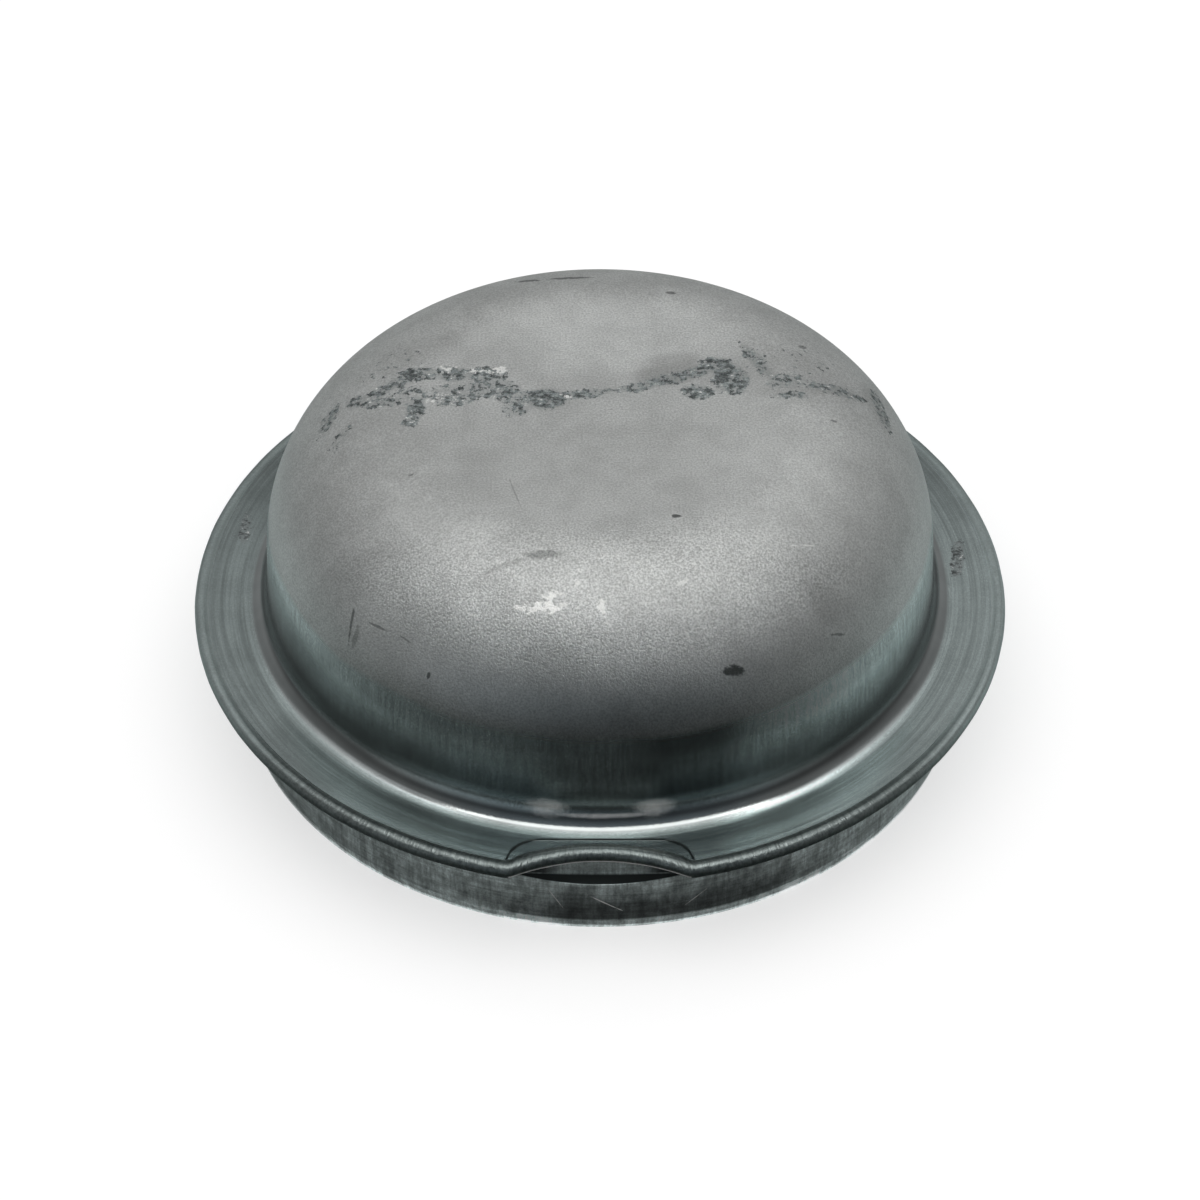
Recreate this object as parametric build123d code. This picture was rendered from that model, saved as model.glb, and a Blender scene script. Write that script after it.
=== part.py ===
from build123d import *
import os
from math import asin, cos, degrees, radians, sin, sqrt, tan

# Hub grease cap, pressed in one piece from steel sheet: a flat-topped dome, a flange folded flat on itself,
# and a skirt that presses into the hub's bore. A pry notch at the front takes a screwdriver.
# Millimetres, +Z up. The origin is the centre of the open rim, and the notch faces -Y.

# Driving dimensions
SHEET = 0.6
SKIRT_RADIUS = 36.0
SEAT_HEIGHT = 9.65
FLANGE_OVERHANG = 4.0

# Dome, measured on the outside of the sheet
WALL_SET_IN = 3.18
WALL_HEIGHT = 5.17
WALL_DRAFT = radians(2.95)
CROWN_CORNER_RADIUS = 15.3
ROOT_RADIUS = 2.5

# Folded edge of the flange: the crevice between the layers, and how much thicker the edge is than they are
FOLD_GAP = 0.1
FOLD_SWELL = 0.14
FOLD_DIP_RADIUS = 1.0

# Skirt: the bend under the flange and the lead-in at the rim
SEAT_BEND_RADIUS = 0.5
LEAD_IN_HEIGHT = 1.2
LEAD_IN_ANGLE = radians(11.0)

# Pry notch: the fold is set back in an arc, over a flat-backed pocket pressed into the skirt
NOTCH_DEPTH = 3.0
NOTCH_HALF_WIDTH = 8.35
PAD_MARGIN = 0.3
PAD_CORNER_RADIUS = 3.2
PAD_DEPTH = 0.1
POCKET_DEPTH = 1.06
POCKET_DROP = 3.71
SHELF_SLOPE = radians(30.7)

# Reach of the cutting shapes past the surfaces they cut
CLEAR = 6.0

# Flange
FLANGE_RADIUS = SKIRT_RADIUS + FLANGE_OVERHANG
FLANGE_TOP = SEAT_HEIGHT + 2 * SHEET + FOLD_GAP
FOLD_RADIUS = SHEET + (FOLD_GAP + FOLD_SWELL) / 2
FOLD_CENTRE_RADIUS = FLANGE_RADIUS - FOLD_RADIUS
FOLD_CENTRE_HEIGHT = SEAT_HEIGHT + FOLD_RADIUS
FOLD_TOP = SEAT_HEIGHT + 2 * FOLD_RADIUS

# Dome, from the root up
ROOT_CENTRE_HEIGHT = FLANGE_TOP + ROOT_RADIUS
WALL_TOP_HEIGHT = ROOT_CENTRE_HEIGHT - ROOT_RADIUS * sin(WALL_DRAFT) + WALL_HEIGHT
WALL_TOP_RADIUS = SKIRT_RADIUS - WALL_SET_IN - (WALL_TOP_HEIGHT - FLANGE_TOP) * tan(WALL_DRAFT)
WALL_SPREAD = (WALL_TOP_HEIGHT - ROOT_CENTRE_HEIGHT) * tan(WALL_DRAFT)
ROOT_CENTRE_RADIUS = WALL_TOP_RADIUS + WALL_SPREAD + ROOT_RADIUS / cos(WALL_DRAFT)
CROWN_FLAT_RADIUS = WALL_TOP_RADIUS - CROWN_CORNER_RADIUS * cos(WALL_DRAFT)
CORNER_CENTRE_HEIGHT = WALL_TOP_HEIGHT - CROWN_CORNER_RADIUS * sin(WALL_DRAFT)
HEIGHT = CORNER_CENTRE_HEIGHT + CROWN_CORNER_RADIUS

# Notch
NOTCH_EDGE_RADIUS = FLANGE_RADIUS - NOTCH_DEPTH
NOTCH_SAGITTA = sqrt(FLANGE_RADIUS**2 - NOTCH_HALF_WIDTH**2) - NOTCH_EDGE_RADIUS
NOTCH_RADIUS = (NOTCH_HALF_WIDTH**2 + NOTCH_SAGITTA**2) / (2 * NOTCH_SAGITTA)
NOTCH_CENTRE_Y = -(NOTCH_EDGE_RADIUS + NOTCH_RADIUS)
PAD_HALF_WIDTH = NOTCH_HALF_WIDTH + PAD_MARGIN
PAD_TOP = FLANGE_TOP - PAD_DEPTH
POCKET_BACK_Y = POCKET_DEPTH - SKIRT_RADIUS
BULGE_FACE_Y = POCKET_BACK_Y + SHEET
MID_SHEET_Y = POCKET_BACK_Y + SHEET / 2
# Inside the coined pad the layers are one: it is filled to this height, part way up the upper layer
FILL_TOP = PAD_TOP - SHEET / 4


def fold_dip(top):
    """The dip behind the folded edge, where it runs out level at the height top: its reach and its turn."""
    rise = top + FOLD_DIP_RADIUS - FOLD_CENTRE_HEIGHT
    span = FOLD_DIP_RADIUS + FOLD_RADIUS
    reach = sqrt(span**2 - rise**2)
    return reach, degrees(asin(reach / span))


def polar(centre, radius, angle):
    """Point at an angle, in degrees, on a circle about centre."""
    return (centre[0] + radius * cos(radians(angle)), centre[1] + radius * sin(radians(angle)))


def arc(centre, radius, start, end):
    """Circular arc about centre from one angle to another, in degrees, either way round."""
    middle = polar(centre, radius, (start + end) / 2)
    return ThreePointArc(polar(centre, radius, start), middle, polar(centre, radius, end))


def turned(outline):
    """Solid of revolution about +Z of an outline of edges drawn in radius and height."""
    return revolve(Plane.XZ * make_face(outline), Axis.Z)


def sheet_side(inset):
    """One side of the sheet's section from crown to rim, drawn inset into the sheet from its outer side."""
    draft = degrees(WALL_DRAFT)
    reach, turn = fold_dip(FLANGE_TOP)
    dip_centre = (FOLD_CENTRE_RADIUS - reach, FLANGE_TOP + FOLD_DIP_RADIUS)
    bend_centre = (SKIRT_RADIUS + SEAT_BEND_RADIUS, SEAT_HEIGHT - SEAT_BEND_RADIUS)
    corner = arc((CROWN_FLAT_RADIUS, CORNER_CENTRE_HEIGHT), CROWN_CORNER_RADIUS - inset, 90, draft)
    root = arc((ROOT_CENTRE_RADIUS, ROOT_CENTRE_HEIGHT), ROOT_RADIUS + inset, 180 + draft, 270)
    dip = arc(dip_centre, FOLD_DIP_RADIUS + inset, 270, 270 + turn)
    fold = arc((FOLD_CENTRE_RADIUS, FOLD_CENTRE_HEIGHT), FOLD_RADIUS - inset, 90 + turn, -90)
    bend = arc(bend_centre, SEAT_BEND_RADIUS + inset, 90, 180)
    lead_in_top = LEAD_IN_HEIGHT + inset * tan(LEAD_IN_ANGLE / 2)
    rim_radius = SKIRT_RADIUS - LEAD_IN_HEIGHT * tan(LEAD_IN_ANGLE) - inset / cos(LEAD_IN_ANGLE)
    lead_in = Line((SKIRT_RADIUS - inset, lead_in_top), (rim_radius, 0))
    return [
        Line((0, HEIGHT - inset), corner @ 0),
        corner,
        Line(corner @ 1, root @ 0),
        root,
        Line(root @ 1, dip @ 0),
        dip,
        fold,
        Line(fold @ 1, bend @ 0),
        bend,
        Line(bend @ 1, lead_in @ 0),
        lead_in,
    ]


def folded_sheet():
    """The whole cap as one turned sheet, before the notch: the same thickness from crown to rim."""
    outer = sheet_side(0)
    inner = sheet_side(SHEET)
    crown_end = Line(outer[0] @ 0, inner[0] @ 0)
    rim_end = Line(outer[-1] @ 1, inner[-1] @ 1)
    return turned([*outer, *inner, crown_end, rim_end])


def upright_cylinder(radius, low, high):
    """Cylinder about the cap's axis between two heights."""
    return Pos(0, 0, (low + high) / 2) * Cylinder(radius, high - low)


def across_front(corners):
    """Prism across the front of the cap, from the corners of its section in Y and Z."""
    section = Plane.YZ * Polygon(*corners, align=None)
    return extrude(section, FLANGE_RADIUS, both=True)


def shelf_height(y):
    """Height of the pocket's sloping shelf, which runs up and in from the lip on the skirt's outer side."""
    return SEAT_HEIGHT - POCKET_DROP + (y + SKIRT_RADIUS) * tan(SHELF_SLOPE)


def pad_mark():
    """Shallow mark of the press's pad on the flange: a straight back edge with two rounded corners."""
    front_y = -FLANGE_RADIUS - CLEAR
    length = POCKET_BACK_Y - front_y
    plan = Pos(0, (front_y + POCKET_BACK_Y) / 2) * Rectangle(2 * PAD_HALF_WIDTH, length)
    plan = fillet(plan.vertices().group_by(Axis.Y)[-1], PAD_CORNER_RADIUS)
    return Pos(0, 0, PAD_TOP) * extrude(plan, CLEAR)


def pad_fill():
    """Steel between the two layers inside the pad, where the press has closed the fold solid."""
    front_y = -FOLD_CENTRE_RADIUS
    block = Pos(0, (front_y + MID_SHEET_Y) / 2, (SEAT_HEIGHT + FILL_TOP) / 2) * Box(
        2 * NOTCH_HALF_WIDTH, MID_SHEET_Y - front_y, FILL_TOP - SEAT_HEIGHT
    )
    return block & upright_cylinder(FOLD_CENTRE_RADIUS - FOLD_RADIUS, 0, HEIGHT)


def pocket():
    """Space pressed into the skirt under the notch: a flat back, a sloping shelf, the flange for a roof."""
    front_y = -SKIRT_RADIUS - CLEAR
    return across_front(
        [
            (POCKET_BACK_Y, SEAT_HEIGHT),
            (POCKET_BACK_Y, shelf_height(POCKET_BACK_Y)),
            (front_y, shelf_height(front_y)),
            (front_y, SEAT_HEIGHT),
        ]
    )


def bulge():
    """The sheet behind the pocket, one thickness inside the pocket's back and under its shelf."""
    drop = SHEET / cos(SHELF_SLOPE)
    mid_wall = SKIRT_RADIUS - SHEET / 2
    block = across_front(
        [
            (BULGE_FACE_Y, FILL_TOP),
            (BULGE_FACE_Y, shelf_height(BULGE_FACE_Y) - drop),
            (-mid_wall, shelf_height(-mid_wall) - drop),
            (-mid_wall, FILL_TOP),
        ]
    )
    return block & upright_cylinder(mid_wall, 0, HEIGHT)


def notch_space():
    """Upright cylinder that takes the flange away at the notch, back to the centre line of its new fold."""
    cylinder = upright_cylinder(NOTCH_RADIUS + FOLD_RADIUS, SEAT_HEIGHT, FOLD_TOP + CLEAR)
    return Pos(0, NOTCH_CENTRE_Y) * cylinder


def notch_fold():
    """The folded edge carried along the notch's arc, and kept inside the flange's own rounded edge."""
    reach, turn = fold_dip(PAD_TOP)
    fold_radius = NOTCH_RADIUS + FOLD_RADIUS
    back_radius = MID_SHEET_Y - NOTCH_CENTRE_Y
    dip_centre = (fold_radius + reach, PAD_TOP + FOLD_DIP_RADIUS)
    fold = arc((fold_radius, FOLD_CENTRE_HEIGHT), FOLD_RADIUS, 270, 90 - turn)
    dip = arc(dip_centre, FOLD_DIP_RADIUS, 270 - turn, 270)
    ring = turned(
        [
            fold,
            dip,
            Line(dip @ 1, (back_radius, PAD_TOP)),
            Line((back_radius, PAD_TOP), (back_radius, SEAT_HEIGHT)),
            Line((back_radius, SEAT_HEIGHT), fold @ 0),
        ]
    )
    edge = arc((FOLD_CENTRE_RADIUS, FOLD_CENTRE_HEIGHT), FOLD_RADIUS, 90, -90)
    disc = turned(
        [
            Line((0, FOLD_TOP), edge @ 0),
            edge,
            Line(edge @ 1, (0, SEAT_HEIGHT)),
            Line((0, SEAT_HEIGHT), (0, FOLD_TOP)),
        ]
    )
    return Pos(0, NOTCH_CENTRE_Y) * ring & disc


def grease_cap():
    """The pressed cap: the folded sheet, then the pad, the set-back fold and the pocket of the notch."""
    cap = folded_sheet() - pad_mark()
    cap = cap + bulge() + pad_fill()
    cap = cap - notch_space() + notch_fold()
    return cap - pocket()


os.makedirs("parts", exist_ok=True)
export_step(grease_cap(), "parts/grease_cap.step")
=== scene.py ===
from math import radians
from types import SimpleNamespace

import bpy
import numpy as np
from bpy.props import FloatProperty, FloatVectorProperty, IntProperty, PointerProperty
from bpy.types import Operator, Panel, PropertyGroup
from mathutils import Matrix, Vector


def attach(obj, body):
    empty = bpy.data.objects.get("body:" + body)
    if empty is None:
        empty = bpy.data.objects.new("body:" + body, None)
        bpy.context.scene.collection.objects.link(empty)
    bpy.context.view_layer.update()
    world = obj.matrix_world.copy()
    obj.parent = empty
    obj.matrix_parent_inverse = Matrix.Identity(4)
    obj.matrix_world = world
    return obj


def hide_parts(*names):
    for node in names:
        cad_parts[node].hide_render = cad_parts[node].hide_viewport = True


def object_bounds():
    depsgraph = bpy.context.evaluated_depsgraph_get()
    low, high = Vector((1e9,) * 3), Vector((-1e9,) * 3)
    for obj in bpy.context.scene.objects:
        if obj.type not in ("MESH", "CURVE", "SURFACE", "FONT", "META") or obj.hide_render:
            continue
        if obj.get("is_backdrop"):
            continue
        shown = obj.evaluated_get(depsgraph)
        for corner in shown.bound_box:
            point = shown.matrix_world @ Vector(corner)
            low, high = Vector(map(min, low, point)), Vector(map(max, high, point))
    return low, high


bl_info = {
    "name": "Hub Grease Cap",
    "version": (1, 0, 0),
    "blender": (4, 5, 0),
    "location": "View3D > Sidebar > Grease Cap",
    "description": "A pressed steel hub cap with a folded flange and a pry notch, with its studio",
    "category": "Object",
}

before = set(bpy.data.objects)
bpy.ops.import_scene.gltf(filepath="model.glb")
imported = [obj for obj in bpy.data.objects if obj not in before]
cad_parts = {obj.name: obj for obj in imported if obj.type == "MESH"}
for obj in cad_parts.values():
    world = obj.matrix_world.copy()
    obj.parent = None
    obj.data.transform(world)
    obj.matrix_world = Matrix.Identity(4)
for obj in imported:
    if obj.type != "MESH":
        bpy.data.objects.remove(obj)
CAD_LOW, CAD_HIGH = (list(corner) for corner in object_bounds())

# The section is worked out in millimetres and the mesh is in metres
MM = 0.001

# Details of the section in millimetres. FAR is a radius beyond the cap
FAR = 99.0
NOTCH_BLEND = 0.16
EDGE_WAVE = 0.022
DIP_WIDTH = 0.8
MARK_MARGIN = 0.2
PLAIN_MARK = 0.6
STEP_HALF = 0.18
APRON_LEAST = 0.25
SHELF_LEAST = 0.12
PAD_SOFT = (-0.07, 0.05)
CREASE_SOFT = (0.05, 0.17)
WEAR_ABOVE_SEAT = 1.2

# Small waves of the folded edge: share, waves round the cap, phase
EDGE_WAVES = ((0.4, 23, 0.4), (0.35, 41, 2.1), (0.25, 67, 4.0))

# Angles from the middle of the notch. FRONT is the cosine of the widest
FRONT = 0.9
NOTCH_SPAN = radians(15.6)
PAD_FADE = (radians(12.9), radians(16.0))
CREVICE_OPENS = (radians(13.0), radians(15.4))

# Heights on the steel in metres: both ends of a smooth step, or two steps for a band
DOME_FOOT = (0.0204, 0.0214)
DOME_RISE = (0.0215, 0.028)
WALL_HIGH = (0.017, 0.0186)
WALL_LOW = (0.014, 0.019)
WALL_FOOT = (0.013, 0.014)
CORNER = ((0.0115, 0.012), (0.018, 0.013))
ROOT = ((0.01098, 0.0112), (0.0125, 0.0118))
ROOT_EDGE = ((0.01096, 0.011), (0.01123, 0.01113))
ROOT_SHINE = ((0.011, 0.01112), (0.01138, 0.01124))
FLANGE = ((0.0102, 0.0104), (0.0112, 0.01098))
SKIRT_TOP = (0.0097, 0.0095)
SKIRT_RISE = (0.002, 0.0066)
RIM_EDGE = (0.0014, 0.001)

# Other lengths on the steel in metres
SHINE_TILT = 0.00011
RING_SWAY = 0.0006
LINE_RADIUS = 0.036

# Directions round the axis by their share along y, which is -1 straight in front
FACING = (-0.72, -0.93)
FORE = (-0.45, -0.8)

# Colours of what the steel reflects
CLOTH = (0.985, 1.0, 1.0)
CLOTH_FRONT = (0.85, 1.0, 1.10)
PAPER = (0.9, 1.0, 0.99)
LAMP = (1.0, 1.0, 0.985)


def length(name, description, default):
    """A length that the user can change, with its default given in millimetres."""
    metres = default * MM
    return FloatProperty(name=name, description=description, default=metres, unit="LENGTH", precision=5)


def angle(name, description, default):
    """An angle that the user can change, with its default given in radians."""
    return FloatProperty(name=name, description=description, default=default, subtype="ANGLE")


def colour(name, description, default):
    """A colour that the user can change."""
    return FloatVectorProperty(
        name=name, description=description, default=default, subtype="COLOR", size=3, min=0.0, max=1.0
    )


def share(name, description, default, high=1.0):
    """A plain number from 0 up to high."""
    return FloatProperty(name=name, description=description, default=default, min=0.0, max=high)


class CapSizes(PropertyGroup):
    """Sizes of the cap's section and of its pry notch."""

    sheet: length("Sheet", "Thickness of the steel sheet", 0.6)
    flange_radius: length("Flange radius", "Radius of the folded edge", CAD_HIGH[0] / MM)
    height: length("Height", "Height of the crown over the rim", CAD_HIGH[2] / MM)
    skirt_radius: length("Skirt radius", "Outer radius of the press-fit skirt", 36.0)
    seat_height: length("Seat height", "Height of the flange's underside", 9.65)
    corner_radius: length("Crown corner", "Radius between the crown and the wall", 15.3)
    wall_top: length("Wall top", "Radius of the wall under the crown's corner", 32.428)
    wall_draft: angle("Wall draft", "Lean of the wall", radians(2.95))
    root_radius: length("Root", "Radius between the wall and the flange", 2.5)
    fold_gap: length("Fold gap", "Crevice between the flange's layers", 0.1)
    fold_radius: length("Fold radius", "Outer radius of the folded edge", 0.72)
    dip_radius: length("Dip radius", "Radius of the dip behind the folded edge", 1.0)
    seat_bend: length("Seat bend", "Radius under the flange", 0.5)
    lead_in: length("Lead-in", "Height of the slanted band at the rim", 1.2)
    lead_in_angle: angle("Lead-in angle", "Slant of that band", radians(11.0))
    notch_depth: length("Notch depth", "How far the fold is set back at the notch", 3.0)
    notch_half_width: length("Notch half width", "Half the notch's width at the edge", 8.35)
    pad_half_width: length("Pad half width", "Half the width of the press mark", 8.65)
    pad_corner: length("Pad corner", "Radius of the press mark's two corners", 3.2)
    pad_depth: length("Pad depth", "Depth of the press mark", 0.1)
    pocket_depth: length("Pocket depth", "Depth of the pocket in the skirt", 1.06)
    pocket_drop: length("Pocket drop", "From the seat down to the pocket's lip", 3.71)
    shelf_slope: angle("Shelf slope", "Slope of the pocket's shelf", radians(30.7))
    notch_columns: IntProperty(name="Notch columns", description="Columns across the notch", default=211)
    round_columns: IntProperty(name="Round columns", description="Columns round the rest", default=209)


class SteelFinish(PropertyGroup):
    """Colours and gloss of the steel."""

    dull: colour("Dull steel", "The dome as drawn", (0.645, 0.65, 0.642))
    ironed: colour("Ironed steel", "The wall under the dome", (0.56, 0.63, 0.625))
    polished: colour("Polished steel", "The root between wall and flange", (0.335, 0.355, 0.355))
    flange: colour("Flange steel", "The flange", (0.43, 0.49, 0.485))
    # Painted shade: this darker colour is used on the hem in front only
    hem: colour("Hem steel", "The folded edge", (0.29, 0.325, 0.32))
    skirt: colour("Skirt steel", "The skirt", (0.44, 0.50, 0.495))
    galled: colour("Galled steel", "Smeared patches across the crown", (0.40, 0.42, 0.42))
    flake: colour("Flake", "Torn flakes in those patches", (0.23, 0.25, 0.25))
    # This colour also paints the glints on the wall and the line along the hem's lip
    fleck_and_gleam: colour("Fleck", "Bright flecks, scuffs and scratches", (0.97, 0.97, 0.95))
    # This colour paints shade into the hollow behind the hem and the pocket, and darkens the line round the
    # press mark and the dark marks on the crown
    grime_and_shade: colour("Grime", "Dirt in creases and in the pocket", (0.030, 0.036, 0.035))
    dull_roughness: share("Dull roughness", "Roughness of the dome", 0.58)
    drawn_roughness: share("Drawn roughness", "Roughness of the dome's lower edge", 0.34)
    ironed_roughness: share("Ironed roughness", "Roughness of the wall", 0.25)
    polished_roughness: share("Polished roughness", "Roughness of the root", 0.12)
    flange_roughness: share("Flange roughness", "Roughness of the flange", 0.22)
    hem_roughness: share("Hem roughness", "Roughness of the folded edge", 0.42)
    skirt_roughness: share("Skirt roughness", "Roughness of the skirt", 0.35)


class StudioSet(PropertyGroup):
    """Camera, lamp and cards of the studio."""

    lens: FloatProperty(
        name="Lens", description="Focal length on a 36 mm sensor", default=108.77, unit="CAMERA"
    )
    elevation: angle("Elevation", "Height of the camera over the horizon", radians(42.309))
    distance: length("Distance", "From the camera to its target", 360.0)
    target_height: length("Target height", "Height of the camera's target on the axis", 8.83)
    lamp_level: share("Lamp level", "Brightness of the soft lamp overhead", 2.75, 20.0)
    lamp_spread: angle("Lamp spread", "Half angle of the lamp, front to back", 0.249)
    lamp_lean: angle("Lamp lean", "Lean of the lamp to the front", 0.175)
    lamp_side: angle("Lamp side", "Shift of the lamp to the right", 0.035)
    lamp_width: share("Lamp width", "Width of the lamp over its depth", 1.81, 10.0)
    glow_level: share("Glow level", "Brightness of the cloth right beside the lamp", 0.165)
    glow_spread: angle("Glow spread", "Half angle at which that glow ends", 0.866)
    glow_width: share("Glow width", "Width of the glow over its depth", 2.53, 10.0)
    front_level: share("Front level", "Brightness of the tent in front", 0.065)
    side_level: share("Side level", "What the tent's sides add to that", 0.5)
    back_level: share("Back level", "What its back adds", 0.27)
    back_rise: share("Back rise", "What the back adds overhead", 0.05)
    low_level: share("Low level", "What the tent adds low on both sides", 0.07)
    left_level: share("Left level", "What a paler corner low on the left adds", 0.17)
    left_floor: share("Left floor", "What the floor adds there", 0.032)
    right_level: share("Right level", "What the tent and the floor add low on the right", 0.05)
    tent_radius: length("Tent radius", "Radius of the tent that the steel reflects", 550.0)


# Patches and marks seen from above in millimetres:
# across, along, half length, half width, turn in degrees, strength
TORN = (
    (-26, 2.2, 1, 2.6, -20, 0.5), (-24.6, -1.6, 1, 1.9, -25, 0.4), (-23.4, 3.2, 1, 1.2, -20, 0.58),
    (-21, 1.9, 2.3, 0.8, -8, 0.58), (-21.1, 3.7, 1.5, 1, 35, 0.6), (-19.4, 4.6, 1.4, 1, 30, 0.62),
    (-17.6, 5.7, 2, 1.2, 0, 0.62), (-17.5, 0.3, 1, 2.4, -8, 0.66), (-17.9, -1.9, 1.1, 0.4, 0, 0.62),
    (-14.2, 5.6, 2, 1.3, 0, 0.6), (-10.9, 5.6, 2.3, 1.3, 0, 0.6), (-13.8, 2.4, 3.2, 2, 0, 0.46),
    (-10.1, 3.5, 3, 1.8, -10, 0.58), (-18.2, 3, 2.4, 1, 20, 0.42), (-8, 0.3, 1.8, 1.2, 0, 0.5),
    (-8.3, 2.2, 2, 1.7, 0, 0.5), (-5.2, 1.9, 2, 1.6, 0, 0.74), (-1.6, 2.6, 2.6, 0.8, 8, 0.64),
    (1.2, 3.2, 1.6, 0.5, 4, 0.58), (-5.5, 5.1, 0.35, 0.9, 0, 0.5), (3.5, 3.6, 2.1, 0.8, 12, 0.62),
    (6.6, 4.9, 2.6, 1, 12, 0.56), (9.3, 2.9, 1.8, 1.3, 0, 0.68), (9, 5.8, 1.6, 1, 10, 0.56),
    (11.2, 7, 1.8, 1.4, 0, 0.66), (12.6, 4.9, 2, 2, 0, 0.68), (12.8, 3, 1.5, 0.6, 0, 0.58),
    (15.1, 7.7, 0.9, 3.3, 27, 0.58), (18, 4.7, 2.5, 1.4, 10, 0.48), (18.1, 2.5, 2.2, 0.6, 5, 0.6),
    (22, 4.7, 2.5, 0.8, 15, 0.56), (24.2, 4.8, 2, 0.8, 20, 0.54), (27.1, 5.6, 0.9, 3.8, 12, 0.5),
    (20, 9, 4, 3, 0, 0.24), (-20, 8, 4, 2.5, 20, 0.26), (35.6, 3.6, 0.8, 3.2, -8, 0.6),
    (-35.7, 8.1, 0.7, 2.7, 0, 0.54),
)
RUBBED = (
    (-18.5, 6, 1.2, 0.7, 0, 0.44), (-14.8, 6.5, 1.4, 0.9, 0, 0.54), (-11.7, 6.4, 1.4, 0.8, 0, 0.6),
    (-9.8, 6.3, 1.2, 0.7, 0, 0.6), (-14.6, 1.8, 2.4, 1.3, 0, 0.48), (-3.5, 2.2, 1, 0.5, 0, 0.6),
)
STAINED = (
    (6.8, 5.8, 3.4, 1.8, 8, 0.9), (7.2, 7.6, 2.8, 1.3, 0, 0.7), (-5.2, 1.9, 2, 1.6, 0, 0.7),
    (11.6, 5.6, 2.6, 2.2, 0, 0.5), (15.2, 7.6, 0.7, 3.4, 27, 0.5), (18.2, 3.6, 2.6, 1.3, 6, 0.5),
    (22.4, 4.6, 2.7, 0.8, 12, 0.6), (26.6, 5.2, 1, 3.2, 12, 0.45), (-18, 9.5, 5, 2.2, 20, 0.25),
    (18.5, 7, 3.5, 3, 0, 0.3), (20.3, -20.7, 1.4, 1.3, 0, 0.5), (-18, -6, 9, 8, 0, 0.2),
    (0, -7, 10, 5, 0, 0.05),
)
# Painted light: pale patches on the crown where more light falls
PAINTED_LIGHT = (
    (2, 12.5, 12, 6.5, 0, 0.55), (17, -5, 7, 7, 0, 0.25), (-15, -24.5, 8, 4, -32, 0.5),
    (15.5, -24.5, 8, 4, 32, 0.2),
)
DARK_STROKES = (
    (7, -15.1, 0.46, 0.26, 0, 0.8), (12.1, -27.8, 1.1, 0.28, 14, 0.8), (-7.2, 21.9, 1.2, 0.35, -8, 0.6),
    (-3, 21.9, 2, 0.3, 0, 0.6), (7.1, 18.8, 0.6, 0.3, 0, 0.6), (19.7, 11.1, 0.45, 0.3, 20, 0.5),
    (22.2, -0.4, 0.3, 0.2, 0, 0.5), (-22.9, -20.5, 0.9, 0.16, 70, 0.6),
    (-22.5, -21.5, 0.5, 0.3, 60, 0.35), (-20.4, -22.2, 1.2, 0.07, -39, 0.5),
    (-17.6, -24.3, 0.9, 0.06, -39, 0.45), (-15.6, -26.9, 0.2, 0.16, 0, 0.7),
    (21.9, -21.8, 0.8, 0.06, 32, 0.5), (-7.9, -11.7, 2.1, 0.08, -74, 0.3),
    (-5.1, -20, 1.8, 0.48, 0, 0.36), (-8.6, -20.8, 2.2, 0.32, 16, 0.2),
    (-17.5, -9, 0.35, 0.16, 20, 0.5),
)
PALE_STROKES = (
    (18.4, -16.8, 1.2, 0.07, 18, 0.7), (-12.5, -24, 0.9, 0.05, -30, 0.5),
    (-6.75, -24.8, 1, 0.36, -8, 0.9), (-4.8, -24.8, 1.1, 0.48, -6, 1), (-3.6, -24.8, 0.5, 0.24, 0, 0.6),
    (-4.45, -24, 1, 0.34, 0, 0.9), (-2.4, -23.1, 0.8, 0.24, 20, 0.5), (0.2, -25, 0.34, 0.85, 0, 0.75),
    (0.7, -26.3, 0.6, 0.16, -50, 0.35), (7.4, -22.6, 0.8, 0.14, 30, 0.5),
    (7.8, -26.5, 0.6, 0.12, -50, 0.4),
)

# Marks seen from the front: across, up, half length, half width, turn in degrees, strength
SKIRT_STROKES = (
    (0.55, 3.45, 2.1, 0.06, -33.7, 0.8), (-4.2, 4, 1.5, 0.05, -60, 0.5), (9, 3.2, 1.3, 0.05, 40, 0.5),
)
# Painted reflections on the wall in front: a pale line low down and two soft glints
PAINTED_WALL_GLEAMS = (
    (0.2, 12.1, 6.4, 0.24, 0, 0.8), (-4.9, 12.7, 2.2, 1, 0, 0.74), (5, 12.7, 2.2, 1, 0, 0.8),
)


# Surfaces


def smooth_step(value, low, high):
    """0 below low, 1 above high, and 3 t squared - 2 t cubed between them."""
    t = np.clip((value - low) / (high - low), 0.0, 1.0)
    return t * t * (3.0 - 2.0 * t)


def soft_least(a, b, blend):
    """The lesser of a and b, rounded where they meet: -blend log(exp(-a / blend) + exp(-b / blend))."""
    least = np.minimum(a, b)
    return least - blend * np.log1p(np.exp(-np.abs(a - b) / blend))


def from_front(radius, angle_round):
    """x and y of points at a radius and an angle from the front: radius sin, - radius cos."""
    return radius * np.sin(angle_round), -radius * np.cos(angle_round)


def straight(start, end, rows):
    """Straight run of the section, without its start: start + (end - start) t for t up to 1."""
    t = np.linspace(0.0, 1.0, rows + 1)[1:, None]
    return start[0] + (end[0] - start[0]) * t, start[1] + (end[1] - start[1]) * t


def rounded(centre, radius, start, end, rows, stretch=1.0):
    """Arc between two angles in degrees, without its start: centre + radius (stretch cos, sin)."""
    t = np.linspace(0.0, 1.0, rows + 1)[1:, None]
    turn = np.radians(start + (end - start) * t)
    return centre[0] + radius * stretch * np.cos(turn), centre[1] + radius * np.sin(turn)


def end_of(run):
    """Last point of a run, to start the next one from."""
    return run[0][-1:], run[1][-1:]


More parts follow.
